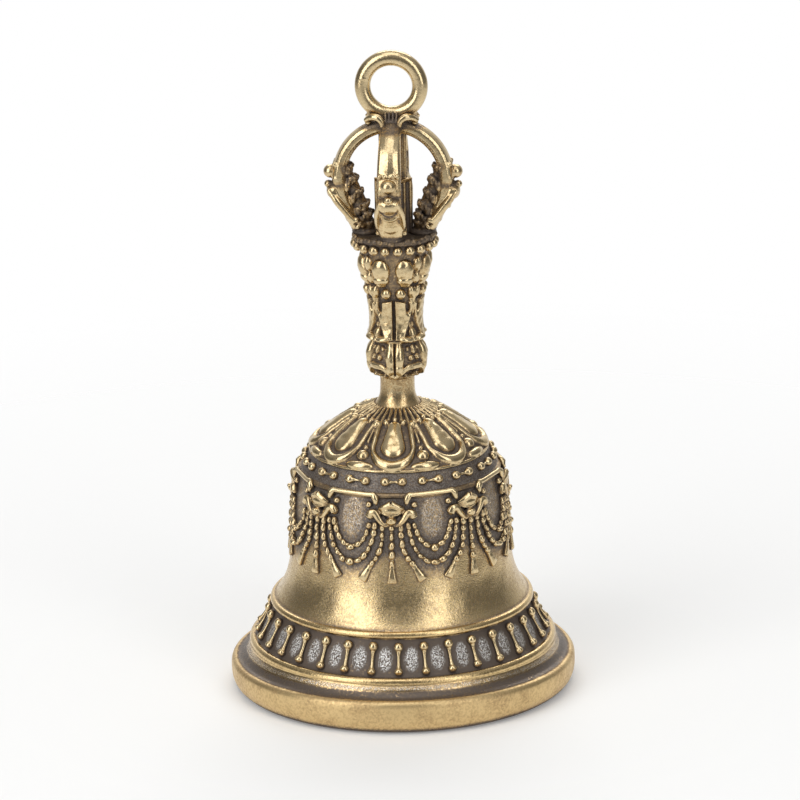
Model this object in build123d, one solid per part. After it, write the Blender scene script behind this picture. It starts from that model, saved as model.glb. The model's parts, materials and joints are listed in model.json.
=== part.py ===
"""Small cast brass ritual hand bell: flared cup, vase handle, five-pronged crown, loop and clapper.

Millimetres. +Z is up the bell's axis, the origin is the centre of the mouth's rim plane, and the
motifs on the front face -Y. The bell stands on its rim.
"""
import os
from math import atan2, cos, radians, sin, sqrt

from build123d import *

# Overall sizes
RIM_R = 12.75            # largest radius, at the lip
MOUTH_R = 10.9           # inner edge of the mouth
SEAT_Z = 21.3            # top of the crown, where the handle stands
ROOF_Z = 19.0            # inside of the crown
CROWN_BORE_R = 0.85

# Handle
THREAD_R = 0.8
SOCKET_TOP_Z = 25.2
NECK_R = 1.28
TABLE_R = 3.1            # table on top of the vase, which the prongs stand on
TABLE_Z = 34.45
VASE_RIM_R = 2.72
HANDLE_BEADS = 20
HANDLE_BEAD_R = 0.32
HANDLE_BEAD_Z = 33.72

# Crown of prongs
PRONG_Z = 38.6           # height where the prongs are widest apart
PRONG_R = 3.88           # centre line's largest distance from the axis
PRONG_FOOT = (1.85, 34.2)
PRONG_WIDE = 1.3
PRONG_THICK = 0.85
PRONG_TOP_DEG = 82
PRONG_CORNER_R = 0.3
HEAD_HALF_WIDTH = 1.0
BOSS_R = 0.95
BOSS_BASE_Z = 42.0
BOSS_TOP_Z = 42.95
SHAFT_SIDE_LOW = 2.05
SHAFT_SIDE_HIGH = 1.4
SHAFT_STEP_Z = 38.5
SHAFT_CHAMFER = 0.15

# Loop
LOOP_Z = 45.36
LOOP_HOLE_R = 1.51
LOOP_OUTER_R = 2.64
LOOP_LAND = 0.6          # straight length of the hole's wall
LOOP_FOOT = (3.7, 1.0, 1.1)
LOOP_FOOT_Z = 42.85

# Clapper
EYE_R, EYE_WIRE_R, EYE_Z = 1.05, 0.36, 16.55
LINK_R, LINK_WIRE_R = 1.5, 0.30
HOOK_R, HOOK_WIRE_R = 0.9, 0.30
WIRE_GAP = 0.06
ROD_R = 0.45
PEEN_R, PEEN_H = 0.65, 0.24
BALL_R, BALL_Z = 2.2, 4.6
NUT_FLATS, NUT_H = 3.0, 0.8
WASHER_R, WASHER_H = 1.7, 0.3

# Relief. The slopes it lies on are given as (r, z) from low to high
PANELS = 8               # petals, masks and panels round the bell
FRONT_DEG = -90.0
BALUSTERS = 33
BALUSTER_PHASE_DEG = 2.8
BALUSTER_SLOPE = (10.52, 4.28), (9.76, 5.98)
BALUSTER_ROD_R, BALUSTER_BALL_R, BALUSTER_LIFT = 0.13, 0.28, 0.1
DUMBBELLS = 16
SHOULDER_SLOPE = (7.2, 16.75), (6.62, 18.0)
DUMBBELL_HALF = 0.6      # from its middle to the centre of a ball
DUMBBELL_ROD_R, DUMBBELL_BALL_R, DUMBBELL_LIFT = 0.14, 0.26, 0.02
DOME_SLOPE = (6.0, 18.95), (3.3, 20.8)
PETAL_BELLY_R, PETAL_BELLY_Y, PETAL_TIP_Y, PETAL_TIP_HALF = 0.72, -0.75, 1.45, 0.12
PETAL_SINK = 0.05
RELIEF_DEPTH = 0.5       # half the thickness of a petal's or a mask's blank, which the cup cuts away
MASK_SLOPE = (7.72, 14.2), (7.42, 16.25)
MASK_HALF_WIDTH, MASK_HALF_HEIGHT, MASK_TAPER_DEG = 1.15, 0.75, 12
TASSEL_H, TASSEL_FOOT_HALF, TASSEL_TOP_HALF = 1.2, 0.3, 0.16
TASSEL_SPREAD_DEG = 12.0
TASSEL_FOOT_Z, SIDE_TASSEL_FOOT_Z = 10.1, 10.7


def revolved(line):
    """Solid of revolution about Z from a closed outline in the XZ plane."""
    return revolve(Plane.XZ * make_face(line), axis=Axis.Z)


def around(piece, count, phase=0.0):
    """That many copies of a piece modelled at +X, the first turned to the front plus a phase."""
    step = 360.0 / count
    return [piece.rotate(Axis.Z, FRONT_DEG + phase + i * step) for i in range(count)]


def tangent_frame(low, high):
    """Plane on the sloping line from low to high (r, z), its Z pointing outwards and its Y up the slope."""
    slope = Vector(high[0] - low[0], 0, high[1] - low[1]).normalized()
    middle = Vector((low[0] + high[0]) / 2, 0, (low[1] + high[1]) / 2)
    normal = Vector(slope.Z, 0, -slope.X)
    return Plane(origin=middle, x_dir=Vector(0, 1, 0), z_dir=normal)


def torus(ring_r, wire_r, centre_z, axis_dir):
    ring = Torus(ring_r, wire_r)
    turn = Rotation(90, 0, 0) if axis_dir == "Y" else Rotation(0, 90, 0)
    return Pos(0, 0, centre_z) * turn * ring


def bell_cup():
    """Cup with its lip, two ridges, waist, shoulder ridges, dome and hollow."""
    outline = [
        Line((MOUTH_R, 0), (RIM_R - 0.7, 0)),
        ThreePointArc((RIM_R - 0.7, 0), (RIM_R - 0.2, 0.2), (RIM_R, 0.7)),
        Line((RIM_R, 0.7), (RIM_R, 1.75)),
        ThreePointArc((RIM_R, 1.75), (12.62, 2.15), (12.25, 2.35)),
        Line((12.25, 2.35), (11.95, 2.5)),
        ThreePointArc((11.95, 2.5), (11.55, 2.85), (11.3, 3.35)),
        ThreePointArc((11.3, 3.35), (11.2, 3.72), (10.85, 3.85)),      # lower ridge
        Line((10.85, 3.85), (10.55, 3.95)),
        ThreePointArc((10.55, 3.95), (9.95, 5.05), (9.45, 6.25)),      # baluster band
        Line((9.45, 6.25), (9.55, 6.35)),
        ThreePointArc((9.55, 6.35), (9.68, 6.62), (9.35, 6.85)),       # upper ridge
        Spline((9.35, 6.85), (8.68, 8.1), (8.22, 9.8), (7.95, 12.0), (7.72, 14.2), (7.42, 16.25)),
        ThreePointArc((7.42, 16.25), (7.5, 16.55), (7.2, 16.75)),      # shoulder ridge
        Line((7.2, 16.75), (6.62, 18.0)),
        ThreePointArc((6.62, 18.0), (6.72, 18.38), (6.35, 18.6)),      # dome ridge
        Spline((6.35, 18.6), (5.3, 19.6), (3.9, 20.5), (2.05, SEAT_Z)),
        Line((2.05, SEAT_Z), (CROWN_BORE_R, SEAT_Z)),
        Line((CROWN_BORE_R, SEAT_Z), (CROWN_BORE_R, ROOF_Z)),
        Line((CROWN_BORE_R, ROOF_Z), (2.0, ROOF_Z)),
        Spline((2.0, ROOF_Z), (4.6, 17.9), (5.95, 15.6), (6.5, 12.6), (6.85, 10.2), (7.9, 7.0),
               (9.3, 3.7), (MOUTH_R, 0)),
    ]
    return revolved(outline)


def baluster(cup):
    """Upright with a ball at each end, sunk a little into the band."""
    low, high = BALUSTER_SLOPE
    frame = tangent_frame(low, high) * Pos(0, 0, BALUSTER_LIFT)
    reach = sqrt((high[0] - low[0]) ** 2 + (high[1] - low[1]) ** 2) / 2
    upright = frame * Rotation(90, 0, 0) * Cylinder(BALUSTER_ROD_R, 2 * reach)
    balls = [frame * Pos(0, side * reach, 0) * Sphere(BALUSTER_BALL_R) for side in (-1, 1)]
    return (upright + balls) - cup


def shoulder_dumbbell(cup):
    """Two balls joined by a thin bar, lying round the shoulder."""
    frame = tangent_frame(*SHOULDER_SLOPE) * Pos(0, 0, DUMBBELL_LIFT)
    bar = frame * Rotation(0, 90, 0) * Cylinder(DUMBBELL_ROD_R, 2 * DUMBBELL_HALF)
    balls = [frame * Pos(side * DUMBBELL_HALF, 0, 0) * Sphere(DUMBBELL_BALL_R) for side in (-1, 1)]
    return (bar + balls) - cup


def lotus_petal(cup):
    """Drop-shaped boss on the dome."""
    belly, belly_y = PETAL_BELLY_R, PETAL_BELLY_Y
    tip, tip_y = PETAL_TIP_HALF, PETAL_TIP_Y
    outline = [
        ThreePointArc((-belly, belly_y), (0, belly_y - belly), (belly, belly_y)),
        Line((belly, belly_y), (tip, tip_y)),
        Line((tip, tip_y), (-tip, tip_y)),
        Line((-tip, tip_y), (-belly, belly_y)),
    ]
    drop = extrude(make_face(outline), RELIEF_DEPTH, both=True)
    return tangent_frame(*DOME_SLOPE) * Pos(0, 0, -PETAL_SINK) * drop - cup


def garland_mask(cup):
    """Oval boss that the bead strings hang from."""
    oval = Ellipse(MASK_HALF_WIDTH, MASK_HALF_HEIGHT)
    boss = extrude(oval, RELIEF_DEPTH, both=True, taper=MASK_TAPER_DEG)
    return tangent_frame(*MASK_SLOPE) * boss - cup


def garland_tassel(cup, foot_z):
    """Pendant at a bead string's end, wider at the foot."""
    frame = tangent_frame((8.18, foot_z), (8.0, foot_z + TASSEL_H))
    foot, top, half = TASSEL_FOOT_HALF, TASSEL_TOP_HALF, TASSEL_H / 2
    outline = Polyline((-foot, -half), (foot, -half), (top, half), (-top, half), close=True)
    return frame * extrude(make_face(outline), TASSEL_FOOT_HALF, both=True) - cup


def handle_stem():
    """Foot, neck, lotus bud, ring, vase and table, with a blind threaded socket from below."""
    outline = [
        Line((THREAD_R, SEAT_Z), (2.0, SEAT_Z)),
        ThreePointArc((2.0, SEAT_Z), (1.46, 21.75), (NECK_R, 22.4)),
        Line((NECK_R, 22.4), (NECK_R, 23.5)),
        ThreePointArc((NECK_R, 23.5), (2.0, 24.3), (1.78, 25.75)),     # lotus bud
        ThreePointArc((1.78, 25.75), (1.72, 26.0), (1.8, 26.2)),
        ThreePointArc((1.8, 26.2), (2.02, 26.5), (1.8, 26.8)),         # ring
        Spline((1.8, 26.8), (1.78, 28.3), (2.1, 30.4), (2.5, 32.2), (VASE_RIM_R, 33.4)),
        Line((VASE_RIM_R, 33.4), (VASE_RIM_R, 34.15)),
        Line((VASE_RIM_R, 34.15), (TABLE_R, 34.2)),
        Line((TABLE_R, 34.2), (TABLE_R, TABLE_Z)),
        Line((TABLE_R, TABLE_Z), (0, TABLE_Z)),
        Line((0, TABLE_Z), (0, SOCKET_TOP_Z)),
        Line((0, SOCKET_TOP_Z), (THREAD_R, SOCKET_TOP_Z - 0.4)),
        Line((THREAD_R, SOCKET_TOP_Z - 0.4), (THREAD_R, SEAT_Z)),
    ]
    return revolved(outline)


def handle_bead(stem):
    """Bead of the row under the table."""
    centre = Pos(VASE_RIM_R + 0.2, 0, HANDLE_BEAD_Z)
    return centre * Sphere(HANDLE_BEAD_R) - stem


def crown_boss():
    """Turned plug at the top, which the prongs, the shaft and the loop meet on."""
    height = BOSS_TOP_Z - BOSS_BASE_Z
    return Pos(0, 0, BOSS_BASE_Z + height / 2) * Cylinder(BOSS_R, height)


def prong(stem, boss):
    """Curved prong with the beast's head that holds it, modelled at +X."""
    foot_r, foot_z = PRONG_FOOT
    rise = PRONG_Z - foot_z
    low_r = ((PRONG_R - foot_r) ** 2 + rise ** 2) / (2 * (PRONG_R - foot_r))
    low_centre_r = PRONG_R - low_r
    half_angle = atan2(rise, foot_r - low_centre_r) / 2
    low_mid = (low_centre_r + low_r * cos(half_angle), PRONG_Z - low_r * sin(half_angle))
    top = radians(PRONG_TOP_DEG)
    top_mid = (PRONG_R * cos(top / 2), PRONG_Z + PRONG_R * sin(top / 2))
    top_end = (PRONG_R * cos(top), PRONG_Z + PRONG_R * sin(top))
    path = Plane.XZ * Wire([
        ThreePointArc(PRONG_FOOT, low_mid, (PRONG_R, PRONG_Z)),
        ThreePointArc((PRONG_R, PRONG_Z), top_mid, top_end),
    ])
    start = Plane(origin=path @ 0, x_dir=Vector(0, 1, 0), z_dir=path % 0)
    section = start * RectangleRounded(PRONG_WIDE, PRONG_THICK, PRONG_CORNER_R)
    rod = sweep(section, path=path)
    side = Polyline(
        (1.6, 34.3), (3.0, 34.3), (3.75, 35.9), (4.75, 37.3), (4.45, 38.1), (3.9, 38.6),
        (3.35, 38.9), (2.7, 37.6), (2.0, 36.3), (1.6, 35.4), close=True,
    )
    head = extrude(Plane.XZ * make_face(side), HEAD_HALF_WIDTH, both=True)
    return (rod + head) - stem - boss


def vajra_shaft(prongs):
    """Square centre shaft, thicker below its step, set edge-on to the prongs."""
    low_h = SHAFT_STEP_Z - TABLE_Z
    high_h = BOSS_BASE_Z - SHAFT_STEP_Z
    low = Pos(0, 0, TABLE_Z + low_h / 2) * Box(SHAFT_SIDE_LOW, SHAFT_SIDE_LOW, low_h)
    high = Pos(0, 0, SHAFT_STEP_Z + high_h / 2) * Box(SHAFT_SIDE_HIGH, SHAFT_SIDE_HIGH, high_h)
    shaft = chamfer((low + high).edges().filter_by(Axis.Z), SHAFT_CHAMFER).rotate(Axis.Z, 45)
    for piece in prongs:
        shaft = shaft - piece
    return shaft


def hanging_loop(boss, prongs):
    """Ring with a short straight-walled hole, and the foot that joins it to the crown."""
    half = (LOOP_OUTER_R - LOOP_HOLE_R) / 2
    middle = LOOP_HOLE_R + half
    outline = [
        Line((LOOP_HOLE_R, -LOOP_LAND / 2), (LOOP_HOLE_R, LOOP_LAND / 2)),
        ThreePointArc((LOOP_HOLE_R, LOOP_LAND / 2), (middle, half), (LOOP_OUTER_R, 0)),
        ThreePointArc((LOOP_OUTER_R, 0), (middle, -half), (LOOP_HOLE_R, -LOOP_LAND / 2)),
    ]
    ring = Pos(0, 0, LOOP_Z) * Rotation(90, 0, 0) * revolved(outline)
    foot = Pos(0, 0, LOOP_FOOT_Z) * Box(*LOOP_FOOT)
    hole = Pos(0, 0, LOOP_Z) * Rotation(90, 0, 0) * Cylinder(LOOP_HOLE_R, LOOP_OUTER_R)
    loop = (ring + foot) - hole - boss
    for piece in prongs:
        loop = loop - piece
    return loop


def eye_bolt():
    """Threaded shank through the crown into the handle, with the eye that the clapper hangs from."""
    low_z = EYE_Z + EYE_R
    shank_h = SOCKET_TOP_Z - 0.5 - low_z
    shank = Pos(0, 0, low_z + shank_h / 2) * Cylinder(THREAD_R, shank_h)
    return shank + torus(EYE_R, EYE_WIRE_R, EYE_Z, "Y")


def crown_washer():
    disc = Cylinder(WASHER_R, WASHER_H) - Cylinder(CROWN_BORE_R, WASHER_H)
    return Pos(0, 0, ROOF_Z - WASHER_H / 2) * disc


def crown_nut():
    blank = extrude(RegularPolygon(NUT_FLATS / 2, 6, major_radius=False), NUT_H)
    blank = blank - Pos(0, 0, NUT_H / 2) * Cylinder(THREAD_R, 2 * NUT_H)
    return Pos(0, 0, ROOF_Z - WASHER_H - NUT_H) * blank


def clapper_heights():
    """Centres of the link, of its lower wire and of the clapper's hook, hanging from the bolt's eye."""
    eye_bottom = EYE_Z - EYE_R
    link_z = eye_bottom + EYE_WIRE_R + LINK_WIRE_R + WIRE_GAP - LINK_R
    link_bottom = link_z - LINK_R
    hook_z = link_bottom + LINK_WIRE_R + HOOK_WIRE_R + WIRE_GAP - HOOK_R
    return link_z, link_bottom, hook_z


def clapper_rod(hook_z):
    """Hook eye, straight rod and the peened end under the ball."""
    top, bottom = hook_z - HOOK_R, BALL_Z - BALL_R
    rod = Pos(0, 0, (top + bottom) / 2) * Cylinder(ROD_R, top - bottom)
    peen = Pos(0, 0, bottom - PEEN_H / 2) * Cylinder(PEEN_R, PEEN_H)
    return rod + peen + torus(HOOK_R, HOOK_WIRE_R, hook_z, "Y")


def clapper_ball(rod):
    return Pos(0, 0, BALL_Z) * Sphere(BALL_R) - rod


def main():
    link_z, link_bottom, hook_z = clapper_heights()
    cup = bell_cup()
    stem = handle_stem()
    boss = crown_boss()
    one_prong = prong(stem, boss)
    prongs = dict(zip(("front", "right", "back", "left"), around(one_prong, 4)))
    rod = clapper_rod(hook_z)
    tassels = [
        piece
        for offset, foot_z in (
            (-TASSEL_SPREAD_DEG, SIDE_TASSEL_FOOT_Z),
            (0, TASSEL_FOOT_Z),
            (TASSEL_SPREAD_DEG, SIDE_TASSEL_FOOT_Z),
        )
        for piece in around(garland_tassel(cup, foot_z), PANELS, offset)
    ]
    nodes = {
        "bell_cup": cup,
        "baluster_band": around(baluster(cup), BALUSTERS, BALUSTER_PHASE_DEG),
        "shoulder_dumbbells": around(shoulder_dumbbell(cup), DUMBBELLS),
        "lotus_petals": around(lotus_petal(cup), PANELS),
        "garland_masks": around(garland_mask(cup), PANELS),
        "garland_tassels": tassels,
        "handle_stem": stem,
        "handle_bead_ring": around(handle_bead(stem), HANDLE_BEADS),
        "vajra_shaft": vajra_shaft(prongs.values()),
        "crown_boss": boss,
        "hanging_loop": hanging_loop(boss, prongs.values()),
        "eye_bolt": eye_bolt(),
        "crown_washer": crown_washer(),
        "crown_nut": crown_nut(),
        "clapper_link": torus(LINK_R, LINK_WIRE_R, link_z, "X"),
        "clapper_rod": rod,
        "clapper_ball": clapper_ball(rod),
    }
    nodes.update({f"prong_{side}": piece for side, piece in prongs.items()})
    os.makedirs("parts", exist_ok=True)
    for name, shape in nodes.items():
        solids = shape if isinstance(shape, list) else [shape]
        export_step(Compound([s for piece in solids for s in piece.solids()]), f"parts/{name}.step")
    print("link pivot z", round(EYE_Z - EYE_R, 3), "clapper pivot z", round(link_bottom, 3))


main()
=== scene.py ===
"""Looks of the miniature cast brass hand bell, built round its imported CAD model.

Shapes are worked out in millimetres of the design, and M turns them into the frame's metres.
Angles on the bell are counted from its front, which faces -Y, towards +X.
"""
import json
import random
from functools import reduce
from math import cos, pi, radians, sin

import bpy
import numpy as np
from mathutils import Matrix, Vector

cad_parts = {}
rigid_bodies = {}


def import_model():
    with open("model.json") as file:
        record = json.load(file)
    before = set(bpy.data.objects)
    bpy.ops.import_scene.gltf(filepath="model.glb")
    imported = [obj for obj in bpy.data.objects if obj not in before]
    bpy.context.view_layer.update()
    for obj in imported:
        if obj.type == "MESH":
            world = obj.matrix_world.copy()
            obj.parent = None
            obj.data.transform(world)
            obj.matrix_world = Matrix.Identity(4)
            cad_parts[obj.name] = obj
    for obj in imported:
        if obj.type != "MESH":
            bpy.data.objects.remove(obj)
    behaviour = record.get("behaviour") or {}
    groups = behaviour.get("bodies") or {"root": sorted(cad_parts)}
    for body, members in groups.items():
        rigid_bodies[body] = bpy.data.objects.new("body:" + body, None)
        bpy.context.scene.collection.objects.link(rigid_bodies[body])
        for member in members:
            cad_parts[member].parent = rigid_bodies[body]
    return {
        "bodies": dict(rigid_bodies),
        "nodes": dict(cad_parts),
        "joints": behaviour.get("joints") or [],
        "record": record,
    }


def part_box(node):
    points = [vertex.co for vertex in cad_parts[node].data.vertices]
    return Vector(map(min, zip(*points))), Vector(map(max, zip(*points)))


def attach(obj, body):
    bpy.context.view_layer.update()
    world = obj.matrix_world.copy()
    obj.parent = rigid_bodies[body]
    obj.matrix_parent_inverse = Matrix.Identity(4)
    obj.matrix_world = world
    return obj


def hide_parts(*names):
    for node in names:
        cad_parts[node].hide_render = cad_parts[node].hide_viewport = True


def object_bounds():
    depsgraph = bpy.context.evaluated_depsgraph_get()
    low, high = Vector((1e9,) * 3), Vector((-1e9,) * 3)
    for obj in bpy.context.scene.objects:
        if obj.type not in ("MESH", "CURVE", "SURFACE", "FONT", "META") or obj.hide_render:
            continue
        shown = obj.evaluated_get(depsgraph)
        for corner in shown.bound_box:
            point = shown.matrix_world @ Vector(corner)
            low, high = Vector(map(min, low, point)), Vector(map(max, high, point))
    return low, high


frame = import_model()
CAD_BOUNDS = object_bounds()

random.seed(7)

LIP_R = 12.75
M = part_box("bell_cup")[1][0] / LIP_R  # metres in a millimetre of the design
SEAT_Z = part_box("bell_cup")[1][2] / M  # crown of the cup, where the handle stands
TABLE_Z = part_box("handle_stem")[1][2] / M  # round table that the prongs stand on
JOINTS = {joint["name"]: joint for joint in frame["joints"]}
LINK_PIVOT_Z = JOINTS["link_swing"]["pos_m"][2] / M

# Relief, in millimetres and degrees
FOLDS = 8  # masks, petals and panels round the bell
HALF_FOLD = 180 / FOLDS
HANDLE_FOLDS = 4
BALUSTERS, BALUSTER_PHASE = 33, 2.8
DUMBBELLS, DUMBBELL_PHASE = 16, 1.2
PANEL_Z, MASK_Z, FLANK_BEAD_Z, PANEL_BAR_Z = 14.9, 15.34, 15.86, 16.64
FLANK_BEAD_SPREAD = 12.6  # beads on either side of a mask
TASSEL_TOP_Z, TASSEL_SPREAD, TASSEL_LEAN = 11.42, 11.2, 30
BEAD_SPACING = 0.56  # along the garland's strings
NECK_R = 1.27
HANDLE_BEADS, HANDLE_BEAD_R, HANDLE_BEAD_Z, HANDLE_BEAD_RING_R = 20, 0.37, 33.7, 2.88
TABLE_KNOBS = 44
PRONG_R, PRONG_Z = 3.88, 38.6  # where the prongs are widest apart
SHAFT_STEP_Z, SHAFT_LOW, SHAFT_HIGH = 38.5, 1.3, 0.9  # step, and half-widths below and above it

# Mesh density, in millimetres
HANDLE_VOXEL, FINE_VOXEL = 0.055, 0.045


# ---- shapes

def smooth_curve(points, step=0.1):
    """Catmull-Rom curve through the points, sampled about a step apart."""
    p = np.array(points, float)
    if len(p) == 2:
        count = max(2, int(np.linalg.norm(p[1] - p[0]) / step) + 1)
        return np.linspace(p[0], p[1], count)
    p = np.vstack([2 * p[0] - p[1], p, 2 * p[-1] - p[-2]])
    out = []
    for a, b, c, d in zip(p, p[1:], p[2:], p[3:]):
        count = max(2, int(np.linalg.norm(c - b) / step) + 1)
        t = np.linspace(0, 1, count, endpoint=False)[:, None]
        out.append(0.5 * (2 * b + (c - a) * t + (2 * a - 5 * b + 4 * c - d) * t ** 2
                          + (3 * b - a - 3 * c + d) * t ** 3))
    out.append(p[-2][None])
    return np.vstack(out)


def full_turn(count):
    return np.linspace(0, 2 * pi, count, endpoint=False)


def spaced(count):
    """Angles of a motif that is repeated evenly all round."""
    return [i * 360 / count for i in range(count)]


def taper(path, places, sizes):
    """Radius for each point of a path, from sizes at shares of its length."""
    return np.interp(np.linspace(0, 1, len(path)), places, sizes)


def polar(theta, r, z):
    """Point at an angle in degrees from the front, a radius and a height."""
    angle = np.radians(theta)
    return np.stack([r * np.sin(angle), -r * np.cos(angle), z + 0 * angle], axis=-1)


class Surface:
    """Surface of revolution that relief is laid on. s is the distance up its outline."""

    def __init__(self, outline):
        self.r, self.z = outline.T
        steps = np.hypot(np.diff(self.r), np.diff(self.z))
        self.s = np.concatenate([[0], np.cumsum(steps)])
        self.length = self.s[-1]
        along = np.gradient(outline, self.s, axis=0)
        along /= np.linalg.norm(along, axis=1)[:, None]
        self.normal_r, self.normal_z = along[:, 1], -along[:, 0]

    def s_at(self, z):
        return self.s[np.argmin(abs(self.z - z))]

    def r_at(self, s):
        return np.interp(s, self.s, self.r)

    def at(self, theta, s, height):
        r = self.r_at(s) + height * np.interp(s, self.s, self.normal_r)
        z = np.interp(s, self.s, self.z) + height * np.interp(s, self.s, self.normal_z)
        return polar(theta, r, z)

    def wrap(self, theta, s, local):
        """Lays local points (across, up, out) on the surface around one place."""
        u, v, h = np.asarray(local).T
        return self.at(theta + np.degrees(u / self.r_at(s + v)), s + v, h)


class Clay:
    """Vertices and faces of one piece, gathered in millimetres."""

    def __init__(self):
        self.verts, self.faces, self.count = [], [], 0

    def add(self, verts, faces):
        self.verts.append(np.asarray(verts, float))
        self.faces += (np.asarray(faces) + self.count).tolist()
        self.count += len(verts)

    def add_balls(self, *balls):
        for shape in balls:
            self.add(*ball(*shape))

    def add_ring(self, rows):
        """Ring of rows of points, the last row joined to the first."""
        columns = len(rows[0])
        self.add(np.vstack(rows), grid_faces(len(rows) + 1, columns) % (len(rows) * columns))

    def points(self):
        return np.vstack(self.verts)

    def mesh(self, name, scale=1.0):
        mesh = bpy.data.meshes.new(name)
        faces = [face[:3] if face[0] == face[-1] else face for face in self.faces]
        mesh.from_pydata((self.points() * scale).tolist(), [], faces)
        return mesh


def grid_faces(rows, columns, closed=True):
    """Quads of a grid whose vertices run column by column within each row."""
    wide = columns if closed else columns - 1
    i, j = np.meshgrid(np.arange(rows - 1), np.arange(wide), indexing="ij")
    k = (j + 1) % columns
    quads = [i * columns + j, i * columns + k, (i + 1) * columns + k, (i + 1) * columns + j]
    return np.stack(quads, axis=-1).reshape(-1, 4)


def ball(radii, centre=(0, 0, 0), around=10, rings=7):
    """Ellipsoid: the first and last rows are shrunk to tiny rings, so every face is a quad."""
    phi = np.linspace(0.02, pi - 0.02, rings + 1)
    theta = full_turn(around)
    p, t = np.meshgrid(phi, theta, indexing="ij")
    unit = np.stack([np.sin(p) * np.cos(t), np.sin(p) * np.sin(t), -np.cos(p)], axis=-1).reshape(-1, 3)
    verts = unit * np.array(radii) + np.array(centre)
    return cap_ends(verts, grid_faces(rings + 1, around), rings + 1, around)


def cap_ends(verts, faces, rows, columns):
    """Closes the first and last rows of a tube with fans, whose triangles repeat their first corner."""
    verts = np.asarray(verts)
    first, last = verts[:columns].mean(axis=0), verts[-columns:].mean(axis=0)
    low, high = len(verts), len(verts) + 1
    j = np.arange(columns)
    k = (j + 1) % columns
    end = (rows - 1) * columns
    below, above = np.full(columns, low), np.full(columns, high)
    fans = np.stack([[below, k, j, below], [above, end + j, end + k, above]], axis=1)
    return np.vstack([verts, first, last]), np.vstack([faces, fans.T.reshape(-1, 4)])


def turned(outline, around=16, axis="z"):
    """Solid turned from (radius, position) pairs, closed at both ends."""
    r, z = np.asarray(outline, float).T
    t = full_turn(around)
    x, y = np.outer(r, np.cos(t)), np.outer(r, np.sin(t))
    along = np.repeat(z[:, None], around, axis=1)
    order = {"z": (x, y, along), "y": (y, along, x), "x": (along, x, y)}[axis]
    verts = np.stack(order, axis=-1).reshape(-1, 3)
    return cap_ends(verts, grid_faces(len(r), around), len(r), around)


def tube(path, radius, around=8, flat=1.0):
    """Round or flattened tube along a path, with a radius for each point."""
    path = np.asarray(path, float)
    radius = np.broadcast_to(radius, len(path))
    along = np.gradient(path, axis=0)
    along /= np.linalg.norm(along, axis=1)[:, None]
    side = np.cross(along, (0, 0, 1))
    weak = np.linalg.norm(side, axis=1) < 0.2
    side[weak] = np.cross(along[weak], (1, 0, 0))
    side /= np.linalg.norm(side, axis=1)[:, None]
    up = np.cross(side, along)
    t = full_turn(around)
    ring = side[:, None] * np.cos(t)[None, :, None] + up[:, None] * (flat * np.sin(t))[None, :, None]
    verts = (path[:, None] + ring * radius[:, None, None]).reshape(-1, 3)
    return cap_ends(verts, grid_faces(len(path), around), len(path), around)


def hoop(ring_r, wire_r, centre_z, across, around=72, wire=20):
    """Closed wire ring in the XZ plane, or in the YZ plane when across is y."""
    a, b = np.meshgrid(full_turn(around), full_turn(wire), indexing="ij")
    reach = ring_r + wire_r * np.cos(b)
    flat, high, out = reach * np.cos(a), centre_z + reach * np.sin(a), wire_r * np.sin(b)
    order = (flat, out, high) if across == "x" else (out, flat, high)
    verts = np.stack(order, axis=-1).reshape(-1, 3)
    faces = grid_faces(around + 1, wire) % len(verts)
    return verts, faces


def fused(clay, voxel, rounds):
    """One closed skin over everything in the clay, softened like a casting."""
    mesh = clay.mesh("fusing")
    mesh.update()
    work = bpy.data.objects.new("fusing", mesh)
    bpy.context.collection.objects.link(work)
    remesh = work.modifiers.new("skin", "REMESH")
    remesh.mode = "VOXEL"
    remesh.voxel_size = voxel
    soften = work.modifiers.new("soften", "SMOOTH")
    soften.factor = 0.5
    soften.iterations = rounds
    baked = bpy.data.meshes.new_from_object(work.evaluated_get(bpy.context.evaluated_depsgraph_get()))
    verts = np.empty(len(baked.vertices) * 3)
    baked.vertices.foreach_get("co", verts)
    skin = Clay()
    skin.add(verts.reshape(-1, 3), [list(polygon.vertices) for polygon in baked.polygons])
    bpy.data.objects.remove(work)
    bpy.data.meshes.remove(mesh)
    bpy.data.meshes.remove(baked)
    return skin


def turn(verts, degrees):
    """Turns points about Z: the bell's axis, or the outward axis of relief that still lies flat."""
    c, s = cos(radians(degrees)), sin(radians(degrees))
    x, y, z = np.asarray(verts).T
    return np.stack([x * c - y * s, x * s + y * c, z], axis=-1)


def piece(name, clay, slot, replaces=(), body="bell", **marks):
    """Makes the object from its clay, and says what it rides on and stands for."""
    mesh = clay.mesh(name, M)
    for attribute, values in marks.items():
        layer = mesh.attributes.new(attribute, "FLOAT", "POINT")
        layer.data.foreach_set("value", np.asarray(values, float))
    mesh.materials.append(BRASS[slot])
    mesh.shade_smooth()
    mesh.validate()
    obj = bpy.data.objects.new(name, mesh)
    bpy.context.collection.objects.link(obj)
    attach(obj, body)
    if replaces:
        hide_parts(*replaces)


# ---- heights of relief

def unevenness(theta, z, length, seed):
    """Soft waviness of a hand-finished wax, between about -1 and 1, with waves of about a length."""
    waves = random.Random(seed)
    total = 0 * theta + 0 * z
    for _ in range(14):
        lean = waves.uniform(0, pi)
        turns = round(cos(lean) * 2 * pi * length[1] / length[0])
        phase = np.radians(theta) * turns + z * sin(lean) * 2 * pi / length[0]
        total = total + np.sin(phase + waves.uniform(0, 2 * pi))
    return total / 5


def dome(u, v, a, b, height, lean=0.0):
    """Ellipsoidal swelling of half-axes a and b, leaning by some degrees."""
    c, s = cos(radians(lean)), sin(radians(lean))
    d = ((u * c + v * s) / a) ** 2 + ((v * c - u * s) / b) ** 2
    return height * np.sqrt(np.clip(1 - d, 0, None))


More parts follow.
